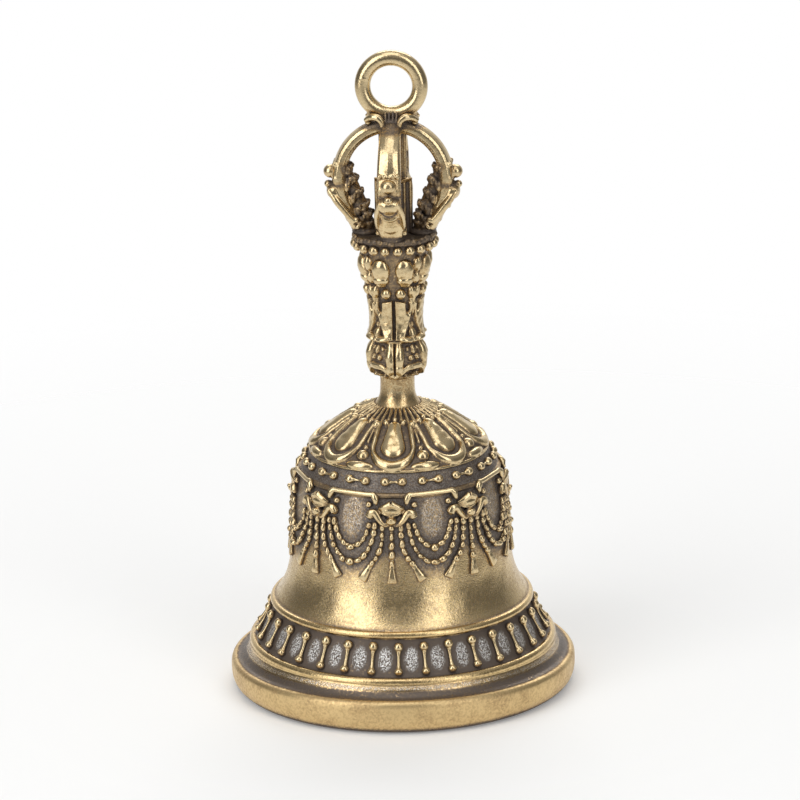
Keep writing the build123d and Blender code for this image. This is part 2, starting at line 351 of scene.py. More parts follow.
def bar(distance, half_width, height):
    """Half-round moulding, from the distance to its centre line."""
    return height * np.sqrt(np.clip(1 - (distance / half_width) ** 2, 0, None))


def shoulder(inside, fillet, height):
    """Flat-topped pad with rounded edges, from the distance inside its outline."""
    t = np.clip(inside / fillet, 0, 1)
    return height * np.sqrt(np.clip(1 - (1 - t) ** 2, 0, None))


def highest(parts):
    return reduce(np.maximum, parts)


def ramp(x, low, high):
    """Soft step from nought below low to one above high."""
    t = np.clip((x - low) / (high - low), 0, 1)
    return t * t * (3 - 2 * t)


def drop_distance(u, v, foot, tip):
    """Signed distance to a drop: two circles (across, up, radius) and their common tangents."""
    (fu, fv, fr), (tu, tv, tr) = foot, tip
    length = np.hypot(tu - fu, tv - fv)
    along = ((u - fu) * (tu - fu) + (v - fv) * (tv - fv)) / length ** 2
    along = np.clip(along, 0, 1)
    near_u, near_v = fu + along * (tu - fu), fv + along * (tv - fv)
    return np.hypot(u - near_u, v - near_v) - (fr + along * (tr - fr))


# ---- materials

def node(tree, kind, inputs, **settings):
    """Adds a shader node, with a constant or another node's output for each input named."""
    made = tree.nodes.new("ShaderNode" + kind)
    for key, value in settings.items():
        setattr(made, key, value)
    for name, value in inputs.items():
        feed(tree, made.inputs[name], value)
    return made


def feed(tree, socket, value):
    if isinstance(value, bpy.types.NodeSocket):
        tree.links.new(value, socket)
    else:
        socket.default_value = value


def maths(tree, operation, a, b, clamp=False):
    return node(tree, "Math", {0: a, 1: b}, operation=operation, use_clamp=clamp).outputs[0]


def plus(tree, a, b, clamp=False):
    return maths(tree, "ADD", a, b, clamp)


def times(tree, a, b):
    return maths(tree, "MULTIPLY", a, b)


def noise(tree, place, scale, detail, rough=0.55):
    inputs = {"Vector": place, "Scale": scale, "Detail": detail, "Roughness": rough}
    return node(tree, "TexNoise", inputs).outputs["Fac"]


def stretched(tree, place, factors):
    return node(tree, "Mapping", {"Vector": place, "Scale": factors}).outputs["Vector"]


def spread(tree, value, low, high, to_low=0.0, to_high=1.0):
    inputs = {"Value": value, "From Min": low, "From Max": high, "To Min": to_low, "To Max": to_high}
    return node(tree, "MapRange", inputs).outputs["Result"]


def mark(tree, name):
    return node(tree, "Attribute", {}, attribute_name=name).outputs["Fac"]


def coordinates(tree, kind):
    return node(tree, "TexCoord", {}).outputs[kind]


def colour_ramp(tree, value, stops):
    made = node(tree, "ValToRGB", {"Fac": value})
    elements = made.color_ramp.elements
    while len(elements) < len(stops):
        elements.new(0.5)
    for element, (position, colour) in zip(elements, stops):
        element.position = position
        element.color = (*colour, 1)
    return made.outputs["Color"]


def mixed(tree, factor, a, b):
    """Mix of one colour output with a constant colour."""
    return node(tree, "Mix", {"Factor": factor, "A": a, "B": (*b, 1)}, data_type="RGBA").outputs["Result"]


def mixed_shader(tree, factor, a, b):
    return node(tree, "MixShader", {0: factor, 1: a, 2: b}).outputs["Shader"]


GOLD = (0.73, 0.54, 0.27)
PALE_GOLD = (0.74, 0.585, 0.34)
OLD_GOLD = (0.56, 0.39, 0.195)
BROWN = (0.255, 0.188, 0.122)
BLACK = (0.13, 0.101, 0.08)
SILVER = (0.88, 0.87, 0.85)
SHELTER_REACH = 0.0006  # how far off a wall gathers patina, in metres


def antique_brass(name, gold, rough, grime, crevice, pits, satin=0.0):
    """Cast brass with dark patina in its recesses, rubbed bright on what stands proud.

    grime says how much patina lies everywhere, crevice how strongly shelter gathers it, pits how coarse
    the skin is, and satin how much of the brushed finish there is. The marks recess, sparkle and satin
    come from the mesh, and are nought where a mesh has none. The first of them is patina, and in places also
    painted shade and painted dark reflection.
    """
    material = bpy.data.materials.new(name)
    material.use_nodes = True
    tree = material.node_tree
    shader = tree.nodes["Principled BSDF"]
    place = coordinates(tree, "Object")
    cloud = noise(tree, place, 650, 4)
    grain = noise(tree, place, 5200, 3)
    skin = noise(tree, place, 12000, 2, 0.6)
    brushed = noise(tree, stretched(tree, place, (2200, 2200, 15000)), 1.0, 3)
    specks = noise(tree, place, 7000, 2)
    flakes = noise(tree, stretched(tree, place, (13000, 13000, 8500)), 1.0, 2, 0.6)

    shelter = node(tree, "AmbientOcclusion", {"Distance": SHELTER_REACH}, samples=8)
    covered = spread(tree, shelter.outputs["AO"], 0.92, 0.4)
    tarnish_and_painted_shade = times(tree, covered, crevice)
    # The mesh's mark: patina in hollows, plus painted shade on the prongs' faces and painted dark reflection
    # in the cup's cove
    tarnish_and_painted_shade = plus(tree, tarnish_and_painted_shade, times(tree, mark(tree, "recess"), 0.85))
    tarnish_and_painted_shade = plus(tree, tarnish_and_painted_shade, spread(tree, cloud, 0.3, 0.7, grime - 0.14, grime + 0.14))
    tarnish_and_painted_shade = plus(tree, tarnish_and_painted_shade, spread(tree, grain, 0.35, 0.65, -0.12, 0.12))
    tarnish_and_painted_shade = maths(tree, "SUBTRACT", tarnish_and_painted_shade, spread(tree, specks, 0.58, 0.66, 0.0, 0.34), clamp=True)
    tint = colour_ramp(tree, tarnish_and_painted_shade, ((0.0, gold), (0.3, OLD_GOLD), (0.62, BROWN), (0.92, BLACK)))

    fleck = maths(tree, "MULTIPLY", spread(tree, flakes, 0.47, 0.56), mark(tree, "sparkle"), clamp=True)
    feed(tree, shader.inputs["Base Color"], mixed(tree, fleck, tint, SILVER))

    metal = maths(tree, "MAXIMUM", spread(tree, tarnish_and_painted_shade, 0.55, 1.0, 1.0, 0.45), fleck)
    feed(tree, shader.inputs["Metallic"], metal)
    dull = spread(tree, tarnish_and_painted_shade, 0.0, 0.9, rough, 0.55)
    dull = plus(tree, dull, times(tree, mark(tree, "satin"), 0.03))
    dull = plus(tree, dull, spread(tree, grain, 0.3, 0.7, -0.05, 0.07), clamp=True)
    dull = maths(tree, "SUBTRACT", dull, times(tree, fleck, 0.22), clamp=True)
    feed(tree, shader.inputs["Roughness"], dull)

    height = plus(tree, times(tree, grain, pits), times(tree, skin, 0.35 * pits))
    height = plus(tree, height, times(tree, brushed, satin))
    rough_spots = times(tree, mark(tree, "sparkle"), flakes)
    height = plus(tree, height, times(tree, rough_spots, 5.0))
    bump = node(tree, "Bump", {"Strength": 0.55, "Distance": 0.00003, "Height": height})
    feed(tree, shader.inputs["Normal"], bump.outputs["Normal"])
    return material


BRASS = {
    "cup_brass": antique_brass("cup antique brass", GOLD, 0.2, 0.05, crevice=0.9, pits=0.85, satin=0.55),
    "relief_brass": antique_brass("relief rubbed brass", PALE_GOLD, 0.17, 0.02, crevice=1.15, pits=0.45),
    "handle_brass": antique_brass("handle cast brass", PALE_GOLD, 0.17, 0.02, crevice=0.7, pits=0.7),
    "clapper_brass": antique_brass("clapper dull brass", GOLD, 0.38, 0.22, crevice=1.0, pits=0.8),
    "fastener_brass": antique_brass("fastener turned brass", GOLD, 0.32, 0.18, crevice=1.2, pits=0.5),
}


# ---- cup

CUP_OUTLINE = {
    "foot": [(10.9, 0.0), (11.85, 0.0)],
    "lip": [(11.85, 0.0), (12.2, 0.12), (12.52, 0.42), (12.7, 0.86), (12.75, 1.3), (12.75, 1.95),
            (12.71, 2.2), (12.6, 2.36), (12.42, 2.45), (12.16, 2.48)],
    "slope": [(12.16, 2.48), (11.99, 2.53), (11.82, 2.64), (11.6, 2.86), (11.43, 3.14), (11.34, 3.34)],
    "low ridge": [(11.34, 3.34), (11.36, 3.52), (11.29, 3.72), (11.1, 3.84), (10.86, 3.8)],
    "band": [(10.86, 3.8), (10.62, 3.98), (10.28, 4.55), (9.92, 5.25), (9.62, 5.95), (9.46, 6.3)],
    "mid ridge": [(9.46, 6.3), (9.66, 6.38), (9.74, 6.6), (9.62, 6.82), (9.4, 6.86)],
    "waist": [(9.4, 6.86), (8.98, 7.45), (8.57, 8.3), (8.31, 9.2), (8.16, 10.1), (8.02, 11.2), (7.9, 12.4),
              (7.78, 13.6), (7.62, 14.8), (7.4, 16.1), (7.34, 16.34)],
    "high ridge": [(7.34, 16.34), (7.46, 16.44), (7.47, 16.6), (7.34, 16.72), (7.16, 16.76)],
    "shoulder": [(7.16, 16.76), (6.92, 17.25), (6.64, 17.78), (6.5, 18.0)],
    "dome": [(6.5, 18.0), (6.42, 18.2), (6.26, 18.42), (5.98, 18.68), (5.6, 18.98), (5.06, 19.38),
             (4.3, 19.92), (3.54, 20.4), (2.76, 20.82), (2.1, 21.12), (1.6, SEAT_Z)],
    "crown": [(1.6, SEAT_Z), (0.86, SEAT_Z)],
    "bore": [(0.86, SEAT_Z), (0.86, 19.0)],
    "roof": [(0.86, 19.0), (2.0, 19.0), (4.6, 17.9), (5.95, 15.6), (6.5, 12.6), (6.85, 10.2), (7.9, 7.0),
             (9.3, 3.7), (10.9, 0.0)],
}
CUP_STEP = {"lip": 0.15, "waist": 0.135, "band": 0.14, "roof": 0.8, "bore": 1.0, "crown": 0.5, "foot": 0.4,
            "dome": 0.5}


def cup_section(name):
    return smooth_curve(CUP_OUTLINE[name], CUP_STEP.get(name, 0.09))


BAND = Surface(cup_section("band"))
WAIST = Surface(cup_section("waist"))
SHOULDER = Surface(cup_section("shoulder"))
DOME = Surface(smooth_curve(CUP_OUTLINE["dome"], 0.05))
HIGH_RIDGE = Surface(smooth_curve(CUP_OUTLINE["waist"][-3:] + CUP_OUTLINE["high ridge"][1:], 0.05))


def fold_angle(theta, folds=FOLDS):
    """Angle from the nearest motif."""
    width = 360 / folds
    return (theta + width / 2) % width - width / 2


def oval(u, v, edge, core):
    """One within the core of an oval and nought beyond its edge."""
    return ramp(-np.hypot(u, v), -edge, -core)


def cup_marks(theta, part, r, z):
    """Patina, sparkle and satin of a stretch of the cup's outline, all round. Low in the cove and on the
    lip's inner top edge the patina is deepened into painted dark reflection.
    """
    recess, sparkle, satin = 0 * theta, 0 * theta, 0 * theta
    from_panel = HALF_FOLD - abs(fold_angle(theta))
    if part == "slope":
        # Patina in the cove, deepened low down into a painted dark reflection that ends where the cove starts
        # to mirror the lamps
        recess += 0.32 + 0.7 * (1 - ramp(z, 2.8, 2.94))
        satin -= 5
        sparkle += 0.45 * ramp(z, 2.9, 3.02) * (1 - ramp(z, 3.16, 3.3))
    if part == "lip":
        satin += 6
        # Lip's inner top edge: patina in the groove and painted dark reflection
        recess += 0.08 + 0.9 * (1 - ramp(r, 12.22, 12.42)) * (z > 2.3)
    if part == "band":
        recess += 1.15
        pitch = 360 / BALUSTERS
        from_gap = pitch / 2 - abs((theta - BALUSTER_PHASE + pitch / 2) % pitch - pitch / 2)
        sparkle = 1.1 * oval(from_gap / 2.9, (z - 4.95) / 0.85, 1.05, 0.7)
    if part == "waist":
        garland_foot = 11.9 + 0.7 * np.cos(np.radians(theta * FOLDS))
        corner = 0.5 * np.exp(-((z - 6.9) / 0.12) ** 2)
        recess = 0.86 * ramp(z, garland_foot - 1.3, garland_foot + 0.5) + corner
        panel = oval(from_panel / 6.3, (z - PANEL_Z) / 1.45, 1.06, 0.9)
        recess -= 0.26 * panel
        sparkle = 0.34 * panel + 0.12 * (1 - panel)
        satin += 1 - ramp(z, 10.8, 12.2)
    if part in ("shoulder", "dome"):
        recess += 0.95
        sparkle += 0.15
    if part == "roof":
        recess += 0.34
        satin += 1
    if part == "high ridge":
        recess += 0.5
    return recess, sparkle, satin


def lip_level(theta, z):
    """How far the lip of the casting, which isn't quite level, stands above its outline."""
    angle = np.radians(theta)
    rise = 0.13 * np.cos(2 * angle) + 0.075 * np.cos(angle) + 0.05 * np.sin(angle) - 0.1
    return rise * ramp(z, 1.2, 2.0) * (1 - ramp(z, 3.05, 3.55))


def make_cup():
    columns = 384
    theta = np.arange(columns) * 360 / columns
    rows, marks = [], {"recess": [], "sparkle": [], "satin": []}
    for part in CUP_OUTLINE:
        for r, z in cup_section(part)[:-1]:
            if part == "waist":
                swell = 0.01 * ramp(z, 6.9, 8.0) * (1 - ramp(z, 12.0, 13.0))
                r = r + swell * unevenness(theta, z, (1.6, 8.4), 5)
            level = z + lip_level(theta, z) if part in ("lip", "slope", "low ridge") else z
            rows.append(polar(theta, r, level))
            for values, found in zip(marks.values(), cup_marks(theta, part, r, z)):
                values.append(found)
    clay = Clay()
    clay.add_ring(rows)
    marks = {name: np.concatenate(values) for name, values in marks.items()}
    piece("cup_shell", clay, "cup_brass", ["bell_cup"], **marks)


def make_balusters():
    outline = [(0.02, -1.26), (0.16, -1.24), (0.28, -1.12), (0.32, -0.95), (0.28, -0.78), (0.2, -0.68),
               (0.14, -0.45), (0.11, 0.0), (0.13, 0.4), (0.19, 0.62), (0.29, 0.74), (0.345, 0.93),
               (0.3, 1.12), (0.17, 1.25), (0.02, 1.28)]
    verts, faces = turned(smooth_curve(outline, 0.07), 16, "y")
    verts = verts + (0, 0, 0.15)
    clay = Clay()
    for theta in spaced(BALUSTERS):
        wobble = 1 + random.uniform(-0.05, 0.05), 1 + random.uniform(-0.02, 0.02), 1
        theta = BALUSTER_PHASE + theta + random.uniform(-0.25, 0.25)
        clay.add(BAND.wrap(theta, BAND.length * 0.475, verts * wobble), faces)
    piece("balusters", clay, "relief_brass", ["baluster_band"])


def make_dumbbells():
    half = [(0.08, 0.0), (0.09, 0.12), (0.12, 0.24), (0.19, 0.33), (0.28, 0.44), (0.325, 0.62), (0.28, 0.8),
            (0.17, 0.92), (0.02, 0.96)]
    outline = [(r, -p) for r, p in reversed(half[1:])] + half
    verts, faces = turned(smooth_curve(outline, 0.06), 14, "x")
    verts = verts + (0, 0, 0.13)
    clay = Clay()
    for theta in spaced(DUMBBELLS):
        clay.add(SHOULDER.wrap(DUMBBELL_PHASE + theta, SHOULDER.length * 0.53, verts), faces)
    piece("shoulder_bars", clay, "relief_brass", ["shoulder_dumbbells"])


def dome_height(theta, s):
    """Height of the lotus relief over the dome."""
    angle = abs(fold_angle(theta))
    r = DOME.r_at(s)
    u = np.radians(angle) * r
    gap = np.radians(HALF_FOLD - angle) * r
    frame = abs(np.hypot(u, np.minimum(s - 2.0, 0)) - 1.47 + 0.17 * np.maximum(s - 2.0, 0))
    low = ramp(2.0 - s, 0.2, 1.5)
    strand = abs((angle + 4.5) % 9 - 4.5) * (1 + 0.12 * np.sin(s * 9))
    strand_start = 3.35 + 1.05 * np.exp(-(u / 0.95) ** 4)
    petal = drop_distance(u, s, (0, 2.05, 0.92), (0, 4.05, 0.5))
    return highest([
        0.03 + shoulder(-petal, 0.62, 0.4),
        bar(frame, 0.21 + 0.21 * low, 0.34 + 0.06 * low) * (1 - ramp(s, 4.1, 4.4)),
        bar(s - 0.1, 0.14, 0.16),  # hem
        dome(gap, s - 0.42, 1.12, 0.34, 0.36),  # pads between the petals
        dome(gap, s - 1.26, 0.5, 0.48, 0.44),
        dome(gap, s - 1.92, 0.24, 0.26, 0.3),
        bar(gap, 0.13, 0.28) * ramp(s, 2.2, 2.5) * (1 - ramp(s, 3.6, 3.9)),
        dome(gap, s - 4.15, 0.34, 0.4, 0.44),
        dome(u - 0.62, s - 4.4, 0.26, 0.32, 0.36),  # beads over the petals
        dome(u, s - 4.72, 0.24, 0.28, 0.34),
        bar(np.radians(strand) * r, 0.15, 0.26) * ramp(s, strand_start, strand_start + 0.3),
    ])


def make_dome():
    columns, rows = FOLDS * 92, 102
    theta = np.arange(columns) * 360 / columns
    top = DOME.length - 0.05
    t, s = np.meshgrid(theta, np.linspace(0, top, rows))
    height = dome_height(t, s)
    outer = DOME.at(t, s, height + 0.013 * unevenness(t, s, (0.7, 4.5), 11))
    t_in, s_in = np.meshgrid(theta, np.linspace(top, 0, 6))
    inner = DOME.at(t_in, s_in, -0.25)
    clay = Clay()
    clay.add_ring([*outer, *inner])
    sunk = np.clip(1 - height / 0.14, 0, 1) * np.where(s > 4.0, 1.15, 0.9)
    piece("lotus_dome", clay, "relief_brass", ["lotus_petals"],
          recess=np.concatenate([sunk.ravel(), np.ones(t_in.size)]))


# ---- garland

def mask_clay():
    """Generic beast-face boss, laid flat: across, up, out."""
    clay = Clay()
    clay.add_balls(((0.88, 0.42, 0.46), (0, 0.2, 0.08), 24, 14))
    for side in (-1, 1):
        brow = smooth_curve([(side * 0.86, 0.26, 0.16), (side * 0.5, 0.44, 0.36), (0, 0.66, 0.46)], 0.08)
        clay.add(*tube(brow, np.linspace(0.16, 0.24, len(brow))))
        lip = smooth_curve([(side * 0.92, 0.14, 0.12), (side * 0.48, -0.08, 0.28), (0, -0.16, 0.34)], 0.08)
        clay.add(*tube(lip, np.linspace(0.1, 0.14, len(lip))))
        arm = smooth_curve([(side * x, y, z) for x, y, z in (
            (0.1, -0.9, 0.16), (0.54, -0.86, 0.2), (0.88, -0.46, 0.26), (1.16, -0.02, 0.28),
            (1.46, -0.04, 0.26), (1.62, -0.34, 0.2))], 0.08)
        clay.add(*tube(arm, taper(arm, [0, 0.3, 0.7, 1], [0.16, 0.22, 0.28, 0.3])))
        clay.add_balls(((0.32, 0.34, 0.3), (side * 1.52, -0.22, 0.14), 12, 8),
                       ((0.22, 0.34, 0.16), (side * 0.58, -0.52, 0.06), 12, 8))
    clay.add_balls(((0.4, 0.34, 0.42), (0, -0.58, 0.24), 18, 12),
                   ((0.24, 0.16, 0.2), (0, -0.48, 0.54), 12, 8),
                   ((0.72, 0.16, 0.18), (0, -0.92, 0.12), 16, 8))
    return clay


def make_masks():
    mask = fused(mask_clay(), FINE_VOXEL, 1)
    across, up, out = mask.points().T
    chin = np.exp(-(across ** 4)) * ramp(-up, 0.18, 0.3) * (1 - ramp(out, 0.24, 0.5))
    flank, flank_faces = ball((0.25, 0.25, 0.27), (0, 0, 0.12), 14, 9)
    clay, recess = Clay(), []
    for theta in spaced(FOLDS):
        clay.add(WAIST.wrap(theta, WAIST.s_at(MASK_Z), mask.points()), mask.faces)
        recess.append(0.75 * chin)
        for side in (-1, 1):
            place = theta + side * FLANK_BEAD_SPREAD
            clay.add(WAIST.wrap(place, WAIST.s_at(FLANK_BEAD_Z), flank), flank_faces)
            recess.append(np.zeros(len(flank)))
    piece("garland_mask_row", clay, "relief_brass", ["garland_masks"], recess=np.concatenate(recess))


def string_paths():
    """Bead strings of one fold, each as (angle from the mask, height) points."""
    inner = [(12.2, 14.45), (14.0, 13.7), (17.4, 13.0), (22.5, 12.72), (27.6, 13.0), (31.0, 13.7),
             (32.8, 14.45)]
    outer = [(9.0, 14.4), (10.0, 13.55), (13.2, 12.45), (18.0, 11.8), (22.5, 11.62), (27.0, 11.8),
             (31.8, 12.45), (35.0, 13.55), (36.0, 14.4)]
    slants = [[(side * angle, z) for angle, z in ((5.0, 14.25), (5.2, 13.3), (7.0, 12.4), (10.6, 11.55))]
              for side in (-1, 1)]
    middle = [(0, 14.2), (0, 13.0), (0, 11.6)]
    return [smooth_curve(points, 0.3) for points in (inner, outer, *slants, middle)]


def beads_along(path):
    """Evenly spaced places (angle, height) along a string, with its lean in radians."""
    r = WAIST.r_at(WAIST.s_at(13.0))
    flat = np.stack([np.radians(path[:, 0]) * r, path[:, 1]], axis=1)
    length = np.concatenate([[0], np.cumsum(np.hypot(*np.diff(flat, axis=0).T))])
    places = np.linspace(0, length[-1], int(length[-1] / BEAD_SPACING) + 1)
    theta = np.interp(places, length, path[:, 0])
    z = np.interp(places, length, path[:, 1])
    return theta, z, np.arctan2(np.gradient(z), np.gradient(np.radians(theta) * r))


def make_strings():
    clay = Clay()
    bead, bead_faces = ball((0.32, 0.22, 0.25), (0, 0, 0.13), 12, 8)
    for path in string_paths():
        theta, z, lean = beads_along(path)
        thread_s = np.array([WAIST.s_at(height) for height in path[:, 1]])
        for fold in spaced(FOLDS):
            clay.add(*tube(WAIST.at(path[:, 0] + fold, thread_s, 0.07), 0.14, 7))
            for angle, height, slant in zip(theta, z, lean):
                heavy = 1.22 if abs(angle) > 20 and abs(slant) < 0.15 else 1.0  # foot of a swag
                size = np.array([heavy * random.uniform(0.8, 1.2) for _ in range(3)])
                slant = np.degrees(slant + random.uniform(-0.22, 0.22))
                clay.add(WAIST.wrap(angle + fold, WAIST.s_at(height), turn(bead * size, slant)), bead_faces)
    piece("bead_strings", clay, "relief_brass")


def tassel():
    """Cap bead and flared, flat-footed skirt, hanging down from its top."""
    rows = [(0.12, 0.05, 0.04), (0.04, 0.17, 0.16), (-0.12, 0.21, 0.21), (-0.26, 0.16, 0.17),
            (-0.32, 0.19, 0.19), (-0.58, 0.24, 0.2), (-0.9, 0.29, 0.2), (-1.24, 0.35, 0.2),
            (-1.32, 0.33, 0.16), (-1.35, 0.12, 0.05)]
    t = full_turn(20)
    wide, thick = (np.sign(wave) * abs(wave) ** 0.55 for wave in (np.cos(t), np.sin(t)))
    verts = [np.stack([half * wide, up + 0 * t, 0.07 + deep * thick], axis=-1) for up, half, deep in rows]
    return cap_ends(np.vstack(verts), grid_faces(len(rows), 20), len(rows), 20)


def make_tassels():
    verts, faces = tassel()
    clay = Clay()
    for theta in spaced(FOLDS):
        for side in (-1, 0, 1):
            leaning = turn(verts, side * TASSEL_LEAN)
            clay.add(WAIST.wrap(theta + side * TASSEL_SPREAD, WAIST.s_at(TASSEL_TOP_Z), leaning), faces)
    piece("tassels", clay, "relief_brass", ["garland_tassels"])


def make_panel_bars():
    """Bright bars over the panels, each end turned down in a tooth beside a mask."""
    clay = Clay()
    bend = [(8.0, -0.84, 0.26, 0.06), (8.2, -0.66, 0.32, 0.16), (8.5, -0.38, 0.28, 0.25),
            (9.2, -0.1, 0.15, 0.26), (10.2, 0.0, 0.08, 0.22), (11.6, 0.0, 0.07, 0.2), (14.0, 0.0, 0.07, 0.18)]
    far_bend = [(2 * HALF_FOLD - across, down, out, size) for across, down, out, size in reversed(bend)]
    across, down, out, size = np.array(bend + far_bend).T
    for theta in spaced(FOLDS):
        clay.add(*tube(HIGH_RIDGE.at(across + theta, HIGH_RIDGE.s_at(PANEL_BAR_Z) + down, out), size, 12))
    piece("panel_bars", clay, "relief_brass", recess=np.full(clay.count, -0.3))


# ---- handle

STEM_BED = [(1.96, 21.26), (1.74, 21.42), (1.5, 21.72), (1.33, 22.1), (NECK_R, 22.6), (1.26, 23.2),
            (NECK_R, 23.6)]
STEM_CORE = [(1.62, 23.5), (1.76, 24.0), (1.82, 24.5), (1.82, 25.2), (1.74, 25.8), (1.6, 26.2), (1.72, 26.5),
             (1.78, 26.75), (1.68, 27.1), (1.6, 27.7), (1.62, 28.5), (1.74, 29.5), (1.92, 30.4), (2.12, 31.2),
             (2.28, 32.0), (2.4, 32.8), (2.5, 33.3), (2.62, 33.6), (2.74, 33.95)]
# Swellings of the stem's relief: distance from the line they stand beside, height, half-width, half-height,
# how far they stand out, and lean in degrees
FACE_SWELLINGS = [
    (0.88, 32.04, 0.7, 0.94, 0.52, 0),  # pods and the base under each
    (0.88, 31.3, 0.62, 0.46, 0.5, 0),
    (0.88, 31.0, 0.44, 0.3, 0.36, 0),
    (0.5, 30.22, 0.38, 0.46, 0.5, 0),  # beads under the pods
    (1.3, 30.3, 0.3, 0.56, 0.44, 0),
    (1.34, 28.95, 0.2, 1.1, 0.36, 8),  # slender outer leaves
    (0.78, 26.74, 0.62, 0.3, 0.56, -18),  # collar's scrolls
    (0.28, 25.4, 0.4, 1.15, 0.46, 0),  # bud's twin petals
    (0.26, 24.55, 0.36, 0.7, 0.4, 0),
    (1.16, 25.3, 0.23, 0.24, 0.3, 0),
    (0.9, 25.98, 0.17, 0.2, 0.2, 0),
]
CORNER_SWELLINGS = [
    (0, 32.5, 0.34, 0.66, 0.48, 0),
    (0, 31.45, 0.32, 0.52, 0.42, 0),
    (-0.06, 30.05, 0.22, 0.8, 0.42, 0),
    (0.12, 27.75, 0.16, 0.22, 0.14, 0),
    (0, 27.15, 0.34, 0.44, 0.34, 0),
    (0, 26.62, 0.3, 0.24, 0.4, 0),
    (0, 25.9, 0.18, 0.4, 0.26, 0),
]


def stem_radius(theta, z):
    """Radius of the stem at an angle and a height, and how much of it is relief."""
    angle = abs(fold_angle(theta, HANDLE_FOLDS))
    core_r, core_z = smooth_curve(STEM_CORE, 0.1).T
    core = np.interp(z, core_z, core_r)
    u, w = np.radians(angle) * core, np.radians(180 / HANDLE_FOLDS - angle) * core
    parts = [0 * theta, bar(z - 26.5, 0.14, 0.16)]
    for across, swellings in ((u, FACE_SWELLINGS), (w, CORNER_SWELLINGS)):
        parts += [dome(across - beside, z - height, *shape) for beside, height, *shape in swellings]
    leaf = highest([u - 0.66 - (z - 26.85) * 0.27, z - 29.76 + 0.2 * u, 0.06 - u, 26.7 - z])
    notch = np.hypot((u - 0.92) / 0.12, (z - 29.35) / 0.5) - 1
    parts.append(shoulder(np.minimum(-leaf, notch * 0.1), 0.1, 0.38))
    rim_z = 23.7 + 0.74 * ramp(u, -0.1, 1.05)  # scalloped foot of the bud
    parts.append(shoulder(0.27 - abs(z - rim_z - 0.17), 0.16, 0.28))
    cleft = np.exp(-(u / 0.038) ** 2) * ramp(z, 23.9, 24.1) * (1 - ramp(z, 26.2, 26.4))
    bulb = ramp(z, rim_z - 0.22, rim_z - 0.04)
    relief = highest(parts) * (1 - 0.9 * cleft) * bulb
    under = dome(u - 0.8, z - 23.98, 0.28, 0.28, 0.5) + bar(z - 23.7, 0.22, 0.2)
    return NECK_R + (core - NECK_R) * bulb + relief + under * (1 - bulb), relief


def make_stem():
    columns = HANDLE_FOLDS * 84
    theta = np.arange(columns) * 360 / columns
    rows, recess = [], []

    def lay(r, z, tarnish_and_painted_shade):
        rows.append(polar(theta, r, z))
        recess.append(tarnish_and_painted_shade + 0 * theta)

    lay(0.3, SEAT_Z, 0)
    for r, z in smooth_curve(STEM_BED, 0.16):
        lay(r, z, 0.22)
    for z in np.arange(23.66, 33.94, 0.047):
        radius, relief = stem_radius(theta, z)
        rough = 0.014 * ramp(z, 23.8, 24.2) * unevenness(theta, z, (0.55, 2.1), 3)
        lay(radius + rough, z, 0.6 * np.clip(1 - relief / 0.16, 0, 1) * ramp(z, 23.7, 24.3))
    for r, z in ((2.84, 34.0), (2.98, 34.1), (3.06, 34.24), (3.02, 34.38), (2.86, TABLE_Z),
                 (2.55, TABLE_Z - 0.06), (1.6, TABLE_Z - 0.08), (0.2, TABLE_Z - 0.08)):
        lay(r, z, 0.9)
    clay = Clay()
    clay.add(*cap_ends(np.vstack(rows), grid_faces(len(rows), columns), len(rows), columns))
    recess.append([0, 0])
    for theta in spaced(TABLE_KNOBS):
        size = random.uniform(0.12, 0.22)
        centre = (random.uniform(2.88, 3.02), 0, random.uniform(34.22, 34.4))
        verts, faces = ball((size, size * 1.5, size), centre, 10, 7)
        clay.add(turn(verts, theta), faces)
        recess.append(random.uniform(0.6, 1.1) + 0 * verts[:, 0])
    piece("handle_relief", clay, "handle_brass", ["handle_stem"], recess=np.concatenate(recess))


def make_handle_beads():
    clay = Clay()
    for theta in spaced(HANDLE_BEADS):
        size = HANDLE_BEAD_R + random.uniform(-0.02, 0.02)
        verts, faces = ball((size, size, size * 0.96), (HANDLE_BEAD_RING_R, 0, HANDLE_BEAD_Z), 16, 11)
        clay.add(turn(verts, theta + 180 / HANDLE_BEADS - 90), faces)
    piece("table_beads", clay, "handle_brass", ["handle_bead_ring"])


def prong_rod():
    """Flat-sided rod with a low ridge down its spine, modelled at +X."""
    low = smooth_curve([(1.85, 34.2), (2.95, 35.7), (3.62, 37.1), (PRONG_R, PRONG_Z)], 0.15)
    turns = np.radians(np.linspace(0, 82, 34)[1:])
    high = np.stack([PRONG_R * np.cos(turns), PRONG_Z + PRONG_R * np.sin(turns)], axis=-1)
    path = np.vstack([low, high])
    along = np.gradient(path, axis=0)
    along /= np.linalg.norm(along, axis=1)[:, None]
    width = np.interp(path[:, 1], [34, 38.6, 39.8, 41.0, 41.8, 42.6], [1.5, 1.74, 1.7, 1.62, 1.56, 1.46])
    thick = np.interp(path[:, 1], [34, 38.6, 41.0, 42.6], [0.9, 1.06, 1.02, 1.0])
    section = [(-0.42, 0.36), (-0.2, 0.47), (0, 0.52), (0.2, 0.47), (0.42, 0.36), (0.5, 0.14), (0.5, -0.2),
               (0.38, -0.46), (0.0, -0.52), (-0.38, -0.46), (-0.5, -0.2), (-0.5, 0.14)]
    verts = [(r + up_z * b * deep, a * wide, z - up_r * b * deep)
             for (r, z), (up_r, up_z), wide, deep in zip(path, along, width, thick) for a, b in section]
    return cap_ends(verts, grid_faces(len(path), len(section)), len(path), len(section))


